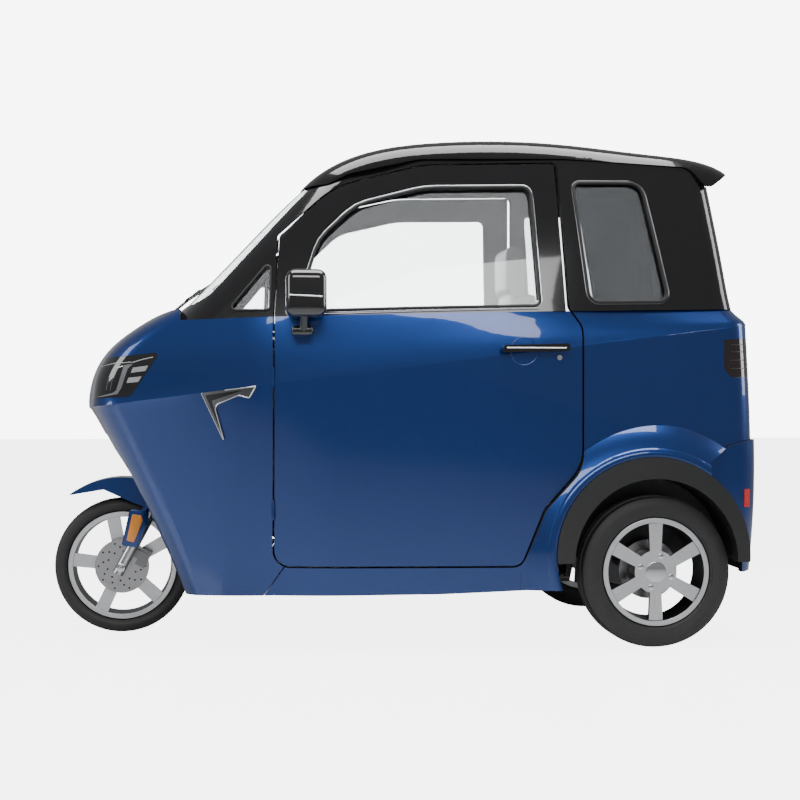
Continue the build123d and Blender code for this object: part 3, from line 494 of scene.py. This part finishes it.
for side in ("left", "right"):
    rear_alloy = make_wheel_finish(f"Rear wheel alloy {side}", REAR_SPOKE_FACE, 161 * MM, REAR_WHEELS[side],
                                   MACHINED)
    CAD_FINISHES.update({
        f"door_panel_{side}": BLUE, f"door_frame_{side}": BLACK_GLOSS, f"door_glass_{side}": CLEAR_GLASS,
        f"door_handle_{side}": BLACK_GLOSS, f"door_mirror_{side}": BLACK_GLOSS, f"rear_tyre_{side}": TYRE,
        f"rear_rim_{side}": rear_alloy, f"rear_disc_{side}": DISC_STEEL,
    })
for name, finish in CAD_FINISHES.items():
    NODES[name].data.materials.clear()
    NODES[name].data.materials.append(finish)


# ---------------------------------------------------------------- tyres
def lathe(name, profile, centre, steps=96):
    """Spins a profile of (radius, offset across) points round a wheel axle."""
    piece = line([centre + Vector((radius, y, 0)) for radius, y in profile], closed=True)
    edit(piece)
    bpy.ops.mesh.spin(steps=steps, angle=math.tau, center=centre, axis=ACROSS)
    bpy.ops.mesh.select_all(action="SELECT")
    bpy.ops.mesh.remove_doubles(threshold=2e-5)
    bpy.ops.mesh.normals_make_consistent(inside=False)
    leave_edit()
    piece.name = name
    return piece


def make_tyre(node_name, body, centre, rim_radius, side_blocks):
    """Tyre with a rounded crown, tread grooves, shoulder sipes and a rim guard ring."""
    low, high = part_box(node_name)
    radius, half = (high.x - low.x) / 2, (high.y - low.y) / 2
    wall = radius - rim_radius
    groove = 5 * MM
    tread = half - 15 * MM
    outer = [(rim_radius - 6 * MM, half - 22 * MM), (rim_radius + 2 * MM, half - 14 * MM),
             (rim_radius + 5 * MM, half - 8 * MM), (rim_radius + 9 * MM, half - 6 * MM),
             (rim_radius + 10 * MM, half - 3 * MM),
             (rim_radius + 0.35 * wall, half - 0.8 * MM), (rim_radius + 0.5 * wall, half),
             (rim_radius + 0.66 * wall, half - 2.5 * MM), (radius - 8 * MM, half - 7 * MM),
             (radius - 3 * MM, half - 11 * MM),
             (radius - 1 * MM, tread)]
    lines = (0.62, 0.2)
    for share in lines:
        y = tread * share
        outer += [(radius - 0.2 * MM, y + 2.6 * MM), (radius - groove, y + 1.6 * MM),
                  (radius - groove, y - 1.6 * MM),
                  (radius - 0.2 * MM, y - 2.6 * MM)]
    inner = [(r, -y) for r, y in reversed(outer)]
    tyre = lathe(f"{node_name}_tread", outer + inner, centre, steps=2 * side_blocks)
    count = 0
    chosen = set()
    for face in tyre.data.polygons:
        out = face.center - centre
        around = math.atan2(out.z, out.x) / math.tau * 2 * side_blocks
        radial = math.hypot(out.x, out.z)
        shoulder = tread * 0.66 < abs(out.y) < half - 5 * MM and radial > radius - 9 * MM
        centre_rib = tread * 0.24 < abs(out.y) < tread * 0.58 and radial > radius - 2 * MM
        step = math.floor(around) % 2
        if (shoulder and step == 0) or (centre_rib and step == (1 if out.y > 0 else 0)):
            chosen.add(face.index)
    edit(tyre)
    bpy.ops.mesh.select_all(action="DESELECT")
    leave_edit()
    for face in tyre.data.polygons:
        face.select = face.index in chosen
    bpy.ops.object.mode_set(mode="EDIT")
    bpy.ops.mesh.select_mode(type="FACE")
    bpy.ops.mesh.inset(thickness=3.2 * MM, depth=0, use_individual=False)
    bpy.ops.mesh.inset(thickness=0.4 * MM, depth=-2.6 * MM, use_individual=False)
    leave_edit()
    smooth(tyre, 28)
    return settle(tyre, f"{node_name}_tread", body, TYRE, "tyre_rubber", node_name)


make_tyre("front_tyre", "front_wheel", FRONT_WHEEL, 176 * MM, 72)
for side, centre in REAR_WHEELS.items():
    make_tyre(f"rear_tyre_{side}", f"rear_wheel_{side}", centre, 166 * MM, 80)


# ---------------------------------------------------------------- modelled details
OUTSIDE_Y = 0.9  # where a line starts before it is laid on the left side
MISSED_Y = 0.85  # a point still beyond this found no surface


def side_points(pairs, y=OUTSIDE_Y):
    """Points in millimetres along and up, at a distance across from the middle plane."""
    return [Vector((x * MM, y, z * MM)) for x, z in pairs]


def spread(loop, distance):
    """The outline moved outwards by a distance, in millimetres."""
    area = sum(a[0] * b[1] - b[0] * a[1] for a, b in zip(loop, loop[1:] + loop[:1]))
    sign = 1 if area > 0 else -1
    out = []
    for i, point in enumerate(loop):
        run = Vector(loop[(i + 1) % len(loop)]) - Vector(loop[i - 1])
        away = Vector((run.y, -run.x)).normalized() * sign * distance
        out.append((point[0] + away.x, point[1] + away.y))
    return out


def drop_missed(piece):
    """Takes away the points that found no surface under them and still stand at their start."""
    edit(piece)
    bpy.ops.mesh.select_mode(type="VERT")
    bpy.ops.mesh.select_all(action="DESELECT")
    leave_edit()
    missed = [vertex for vertex in piece.data.vertices if vertex.co.y > MISSED_Y]
    for vertex in missed:
        vertex.select = True
    if missed:
        bpy.ops.object.mode_set(mode="EDIT")
        bpy.ops.mesh.delete(type="VERT")
        leave_edit()


def bead(name, loop, target, radius, finish, slot, offset=0.0, body="body", closed=True):
    """Round bead along an outline on the left side of a node, and its twin on the other side."""
    points = side_points(densely(loop, closed, 25))
    piece = line(points, closed)
    lay_on(piece, target, offset=offset)
    drop_missed(piece)
    piece = tube(piece, radius)
    pair_up(piece, name, body, finish, slot)


def pair_up(piece, name, body, finish, slot):
    """Settles a left piece and its mirrored twin, each on its own body."""
    twin = across_copy(piece)
    settle(piece, f"{name}_left", body.replace("SIDE", "left"), finish, slot)
    settle(twin, f"{name}_right", body.replace("SIDE", "right"), finish, slot)


def plate(name, loop, target, thickness, finish, slot, offset=0.0, body="body"):
    """Thin plate with the given outline, laid on the left side of a node, and its twin."""
    piece = line(side_points(densely(loop, True, 15)), closed=True)
    edit(piece)
    bpy.ops.mesh.select_all(action="SELECT")
    bpy.ops.mesh.edge_face_add()
    bpy.ops.mesh.quads_convert_to_tris()
    leave_edit()
    lay_on(piece, target, offset=offset)
    drop_missed(piece)
    modify(piece, "SOLIDIFY", thickness=thickness, offset=0.0)
    outward(piece)
    smooth(piece, 40)
    pair_up(piece, name, body, finish, slot)


def upright_plate(loop, y, thickness):
    """Flat plate standing along the vehicle, its middle at y."""
    piece = line(side_points(loop, y), closed=True)
    edit(piece)
    bpy.ops.mesh.select_all(action="SELECT")
    bpy.ops.mesh.edge_face_add()
    leave_edit()
    modify(piece, "SOLIDIFY", thickness=thickness, offset=0.0)
    outward(piece)
    soften(piece, 1.2 * MM, 2)
    return piece


def circle(x, z, radius, count):
    """Outline of a circle in side view, in millimetres."""
    turns = [k * math.tau / count for k in range(count)]
    return [(x + radius * math.cos(turn), z + radius * math.sin(turn)) for turn in turns]


DOOR_PANE = rounded([(284, 1040, 18), (306, 1120, 80), (262, 1255, 130), (150, 1362, 140), (-60, 1414, 300),
                     (-383, 1420, 22), (-401, 1056, 14)])
FRONT_PANE = rounded([(536, 1041, 7), (421, 1041, 7), (417, 1184, 7)])
REAR_PANE = rounded([(-530, 1436, 15), (-742, 1440, 45), (-816, 1074, 25), (-566, 1069, 30)])
bead("door_seal", spread(DOOR_PANE, 5), "door_frame_left", 4.5 * MM, RUBBER_AND_HOLE_SHADE, "black_satin", body="door_SIDE")
bead("door_bright", spread(DOOR_PANE, 11), "door_frame_left", 1.6 * MM, CHROME, "chrome_trim", body="door_SIDE")
bead("front_quarter_seal", spread(FRONT_PANE, 4), "cabin_frame", 4 * MM, RUBBER_AND_HOLE_SHADE, "black_satin")
bead("rear_quarter_seal", spread(REAR_PANE, 5), "quarter_frame_left", 5 * MM, RUBBER_AND_HOLE_SHADE, "black_satin")
bead("rear_quarter_bright", spread(REAR_PANE, 11), "quarter_frame_left", 1.4 * MM, DARK_CHROME, "chrome_trim")
bead("door_sill_bright", [(300, 1022), (-402, 1042)], "door_frame_left", 3 * MM, DARK_CHROME, "chrome_trim",
     body="door_SIDE", closed=False)

# lamps
RUNNING_LIGHT = [(953, 771), (898, 784), (886, 792), (861, 870), (834, 874), (850, 858), (871, 798),
                 (882, 781), (930, 773)]
plate("running_light", RUNNING_LIGHT, "headlamps", 2.4 * MM, CHROME, "chrome_trim", 0.8 * MM)
LAMP_BARS = {
    "lamp_bar_upper": [(840, 846), (833, 862), (787, 868), (795, 852)],
    "lamp_bar_lower": [(854, 815), (847, 831), (807, 835), (818, 818)],
}
for name, loop in LAMP_BARS.items():
    plate(name, loop, "headlamps", 2.4 * MM, LAMP_SILVER, "chrome_trim", 0.6 * MM)
LAMP_LINES = [
    ("lamp_brow", [(934, 867), (892, 876), (830, 879), (809, 886), (772, 894)], 1.5, LAMP_SILVER,
     "chrome_trim"),
    ("lamp_fin_front", [(905, 795), (897, 830)], 1.8, LAMP_GLASS, "lamp_lens"),
    ("lamp_fin_rear", [(918, 794), (909, 833)], 1.8, LAMP_GLASS, "lamp_lens"),
    ("lamp_marker", [(885, 861), (865, 867)], 1.8, CHROME, "chrome_trim"),
]
for name, loop, radius, finish, slot in LAMP_LINES:
    bead(name, loop, "headlamps", radius * MM, finish, slot, 0.2 * MM, closed=False)
for k, z in enumerate((862, 888, 914, 936)):
    bead(f"tail_lamp_rib_{k + 1}", [(-1010, z), (-1078, z)], "tail_lamps", 1.6 * MM, SMOKED, "smoked_lens",
         0.2 * MM, closed=False)

# bright trim on the leg shield
TRIM = rounded([(628, 786, 5), (457, 806, 3), (480, 766, 8), (514, 775, 14), (583, 745, 16), (546, 612, 3)])
bead("fender_trim_edge", spread(TRIM, -2), "fender_trims", 1.9 * MM, CHROME, "chrome_trim", 0.2 * MM)
plate("fender_trim_insert", [(612, 777), (500, 792), (516, 786), (594, 760), (569, 676)], "fender_trims",
      1.4 * MM, BLACK_GLOSS, "black_gloss", 0.6 * MM)

# door handle recess and key lock
bead("handle_recess_rim", circle(-351, 911, 42, 36), "door_panel_left", 1.8 * MM, BLUE, "blue_paint",
     body="door_SIDE")
plate("door_lock", circle(-462, 892, 8, 24), "door_panel_left", 2.4 * MM, CHROME, "chrome_trim",
      0.6 * MM, "door_SIDE")
handle_low, handle_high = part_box("door_handle_left")
strip_y = handle_high.y - 1 * MM
strip_z = (handle_low.z + handle_high.z) / 2
STRIP_INSET = 12 * MM
grip = bar((handle_low.x + STRIP_INSET, strip_y, strip_z), (handle_high.x - STRIP_INSET, strip_y, strip_z),
           2.2 * MM, 16)
smooth(grip, 40)
pair_up(grip, "handle_strip", "door_SIDE", CHROME, "chrome_trim")

# reflectors
bracket = rounded([(888, 292, 8), (862, 410, 12), (806, 404, 12), (800, 372, 10), (838, 286, 8)])
pair_up(upright_plate(bracket, 0.1195, 4 * MM), "mudguard_bracket", "fork", BLUE_PLAIN, "blue_paint")
amber = rounded([(872, 310, 5), (854, 394, 5), (824, 391, 5), (820, 375, 5), (848, 302, 5)])
pair_up(upright_plate(amber, 0.1235, 5 * MM), "fork_reflector", "fork", AMBER, "lamp_lens")
plate("tail_reflector", [(-1052, 430), (-1052, 486), (-1074, 486), (-1074, 430)], "rear_bumper", 3 * MM, RED,
      "smoked_lens", 1 * MM)


# ---------------------------------------------------------------- wheel caps, nuts, and disc spots of painted shade for the drilled holes
def hexagon_nut(centre, radius, y_low, y_high):
    nut = drum((centre.x, (y_low + y_high) / 2, centre.z), radius, y_high - y_low, ACROSS, 6)
    soften(nut, 1.4 * MM, 2)
    return nut


def around(centre, radius, angle):
    return Vector((centre.x + radius * math.cos(angle), centre.y, centre.z + radius * math.sin(angle)))


WHEEL_NUTS = 4
NUT_CIRCLE = 50 * MM
FIRST_NUT = 18  # degrees above the forward direction
DISC_FACE = 62 * MM  # outer face of the braking ring, inboard of the end of the disc's hub
DISC_HOLES = 30
HOLE_CIRCLES = (76, 62, 48)
for side, sign in (("left", 1), ("right", -1)):
    centre = REAR_WHEELS[side]
    face = centre.y + sign * REAR_SPOKE_FACE
    span = sorted((face - sign * 0.004, face + sign * 0.0065))
    cap = drum((centre.x, sum(span) / 2, centre.z), 32 * MM, span[1] - span[0], ACROSS, 64)
    soften(cap, 2.5 * MM, 4)
    smooth(cap, 40)
    settle(cap, f"wheel_cap_{side}", f"rear_wheel_{side}", CHROME, "wheel_alloy")
    nuts = []
    for k in range(WHEEL_NUTS):
        at = around(centre, NUT_CIRCLE, math.radians(FIRST_NUT + k * 360 / WHEEL_NUTS))
        nuts.append(hexagon_nut(at, 9.5 * MM, *sorted((face - sign * 0.008, face + sign * 0.005))))
    settle(join(nuts), f"wheel_nuts_{side}", f"rear_wheel_{side}", CHROME, "wheel_alloy")
# Thin black discs on the disc face stand in for the drilled holes: their darkness is painted shade, drawn with
# the rubber seal finish.
holes = []
for k in range(DISC_HOLES):
    at = around(FRONT_WHEEL, HOLE_CIRCLES[k % len(HOLE_CIRCLES)] * MM, math.tau * k / DISC_HOLES)
    holes.append(drum((at.x, DISC_FACE, at.z), 3.4 * MM, 0.3 * MM, ACROSS, 16))
settle(join(holes), "disc_hole_painted_shade", "front_wheel", RUBBER_AND_HOLE_SHADE, "disc_steel")
fork_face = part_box("fork_legs")[1].y
axle = hexagon_nut(FRONT_WHEEL, 15 * MM, fork_face - 0.002, fork_face + 0.011)
settle(axle, "front_axle_nut", "fork", CHROME, "fork_alloy")
axle_end = drum((FRONT_WHEEL.x, fork_face + 0.013, FRONT_WHEEL.z), 7 * MM, 8 * MM, ACROSS, 24)
soften(axle_end, 2 * MM, 3)
settle(axle_end, "front_axle_end", "fork", CHROME, "fork_alloy")

# ---------------------------------------------------------------- mirrors
low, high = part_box("door_mirror_left")
housing = block((0.255, high.y - 0.155, 1.006), (0.376, high.y - 0.004, 1.146))
soften(housing, 28 * MM, 6)
smooth(housing, 50)
foot = block((0.292, low.y + 0.001, 0.955), (0.356, high.y - 0.09, 0.982))
soften(foot, 10 * MM, 5)
smooth(foot, 50)
neck = bar((0.320, high.y - 0.1, 0.97), (0.318, high.y - 0.085, 1.03), 12 * MM, 24)
smooth(neck, 40)
mirror_piece = join([housing, foot, neck])
twin = across_copy(mirror_piece)
settle(mirror_piece, "mirror_housing_left", "door_left", BLACK_GLOSS_PLAIN, "black_gloss", "door_mirror_left")
settle(twin, "mirror_housing_right", "door_right", BLACK_GLOSS_PLAIN, "black_gloss", "door_mirror_right")
strip = line([(0.366, high.y - 0.006, 1.068), (0.32, high.y - 0.0035, 1.066), (0.27, high.y - 0.006, 1.064)])
strip = tube(strip, 2.4 * MM)
pair_up(strip, "mirror_strip", "door_SIDE", CHROME, "chrome_trim")


# ---------------------------------------------------------------- seats
SEAT_VOXEL = 9.5 * MM
SEAT_DRAWN_IN = 6 * MM
SEAT_SWELL = 5 * MM  # furthest that the cloth may move a point
SEAT_PRESSURE = 4.0
LAST_FRAME = 20


def pad(name, smoothing=6):
    """Padded cover: the seat's own shape drawn in, remeshed, and blown up a little as cloth."""
    piece = copied(NODES[name])
    piece.parent = None
    pick(piece)
    modify(piece, "REMESH", mode="VOXEL", voxel_size=SEAT_VOXEL)
    edit(piece)
    bpy.ops.mesh.select_all(action="SELECT")
    bpy.ops.transform.shrink_fatten(value=-SEAT_DRAWN_IN)
    leave_edit()
    before = [v.co.copy() for v in piece.data.vertices]
    pick(piece)
    bpy.ops.object.modifier_add(type="CLOTH")
    cloth = piece.modifiers[-1]
    cloth.settings.use_pressure = True
    cloth.settings.uniform_pressure_force = SEAT_PRESSURE
    cloth.settings.effector_weights.gravity = 0.0
    cloth.settings.quality = 3
    for frame_number in range(1, LAST_FRAME + 1):
        bpy.context.scene.frame_set(frame_number)
    bpy.ops.object.modifier_apply(modifier=cloth.name)
    bpy.context.scene.frame_set(1)
    for vertex, rest in zip(piece.data.vertices, before):
        step = vertex.co - rest
        if step.length > SEAT_SWELL:
            vertex.co = rest + step.normalized() * SEAT_SWELL
    modify(piece, "SMOOTH", factor=0.5, iterations=smoothing)
    modify(piece, "SUBSURF", levels=1, render_levels=1)
    outward(piece)
    smooth(piece, 180)
    settle(piece, f"{name}_cover", "body", LEATHER, "seat_cover", name)


pad("driver_seat")
pad("rear_bench")


# ---------------------------------------------------------------- room, lights and camera
# The floor and the air are bright to the camera only, so that the paint reflects a dim room.
FLOOR_GLOW = 5.5
AIR_GLOW = 7.5
AIR_LIGHT = 0.3


def make_floor():
    made, tree, shader = material("Pale floor", Coat_Weight=0.25, Coat_Roughness=0.12)
    place = node(tree, "TexCoord").outputs["Object"]
    haze = node(tree, "TexNoise", {"Vector": place, "Scale": 1.5, "Detail": 3.0}).outputs["Fac"]
    pale = blend_colours(tree, haze, (0.66, 0.67, 0.685, 1), (0.70, 0.71, 0.72, 1))
    tree.links.new(pale, shader["Base Color"])
    tree.links.new(maths(tree, "ADD", maths(tree, "MULTIPLY", haze, 0.05), 0.2), shader["Roughness"])
    shader["Emission Color"].default_value = (0.97, 0.98, 1.0, 1)
    seen = node(tree, "LightPath").outputs["Is Camera Ray"]
    tree.links.new(maths(tree, "MULTIPLY", seen, FLOOR_GLOW), shader["Emission Strength"])
    deselect()
    bpy.ops.mesh.primitive_plane_add(size=60, location=(0, 0, 0))
    floor = bpy.context.object
    floor.name = "studio_floor"
    floor.data.materials.append(made)


def add_light(name, place, target, size, power, colour=(1, 1, 1)):
    deselect()
    bpy.ops.object.light_add(type="AREA", location=place)
    lamp = bpy.context.object
    lamp.name = name
    lamp.data.shape = "RECTANGLE"
    lamp.data.size, lamp.data.size_y = size
    lamp.data.energy = power
    lamp.data.color = colour
    lamp.rotation_mode = "QUATERNION"
    lamp.rotation_quaternion = (Vector(target) - Vector(place)).to_track_quat("-Z", "Y")


def make_room():
    make_floor()
    world = bpy.data.worlds.new("Studio air")
    bpy.context.scene.world = world
    world.use_nodes = True
    tree = world.node_tree
    tree.nodes["Background"].inputs["Color"].default_value = (0.97, 0.98, 1.0, 1)
    path = node(tree, "LightPath").outputs
    seen = maths(tree, "MAXIMUM", path["Is Camera Ray"], path["Is Transmission Ray"])
    strength = maths(tree, "ADD", maths(tree, "MULTIPLY", seen, AIR_GLOW), AIR_LIGHT)
    tree.links.new(strength, tree.nodes["Background"].inputs["Strength"])
    add_light("Overhead softbox", (0, 0.6, 3.6), (0, 0, 0.6), (3.4, 1.8), 170)
    add_light("Side softbox", (0.4, 4.6, 2.9), (0, 0, 0.8), (4.5, 1.0), 110)
    add_light("Tail softbox", (-4.2, 0.5, 2.0), (-0.8, 0, 0.8), (1.2, 2.2), 45)
    add_light("Nose softbox", (4.2, 1.0, 2.2), (0.8, 0, 0.8), (1.2, 2.2), 45)


def make_camera():
    """Level with the lower windows, a little ahead of the middle of the left side."""
    place = Vector((0.52295, 5.33, 0.74755))
    heading, climb = math.radians(5.925), math.radians(0.179)
    level = math.cos(climb)
    ahead = Vector((-math.sin(heading) * level, -math.cos(heading) * level, math.sin(climb)))
    right = Vector((-math.cos(heading), math.sin(heading), 0))
    upward = right.cross(ahead)
    turn = Matrix((right, upward, -ahead)).transposed().to_4x4()
    deselect()
    bpy.ops.object.camera_add()
    camera = bpy.context.object
    camera.matrix_world = Matrix.Translation(place) @ turn
    camera.data.lens = 71.55
    bpy.context.scene.camera = camera


make_room()
make_camera()
